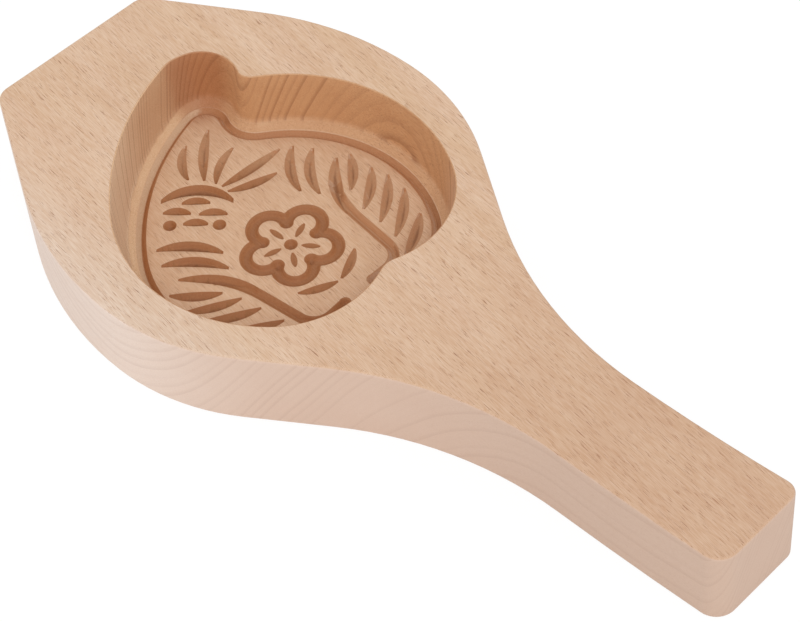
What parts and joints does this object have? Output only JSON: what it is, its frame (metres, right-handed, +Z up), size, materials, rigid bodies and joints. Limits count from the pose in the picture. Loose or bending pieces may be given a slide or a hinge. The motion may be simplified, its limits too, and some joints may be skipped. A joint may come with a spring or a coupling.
{
  "type": "wooden mooncake mold",
  "caption": "Flat wooden paddle mold with a handle and a deep peach-shaped cavity carved with leaves, a fan and a blossom, for pressing filled cakes.",
  "frame": {"origin": "middle of the board's footprint, on its underside", "axes": "+X along the board towards the end of the handle, +Y across the board towards the side of the cavity's small tip lobe, +Z up through the open face"},
  "size_m": [0.2512, 0.1156, 0.026],
  "materials": {
    "beech": "sanded, unfinished beech"
  },
  "bodies": {
    "root": {"mold_body": "beech"}
  },
  "joints": []
}
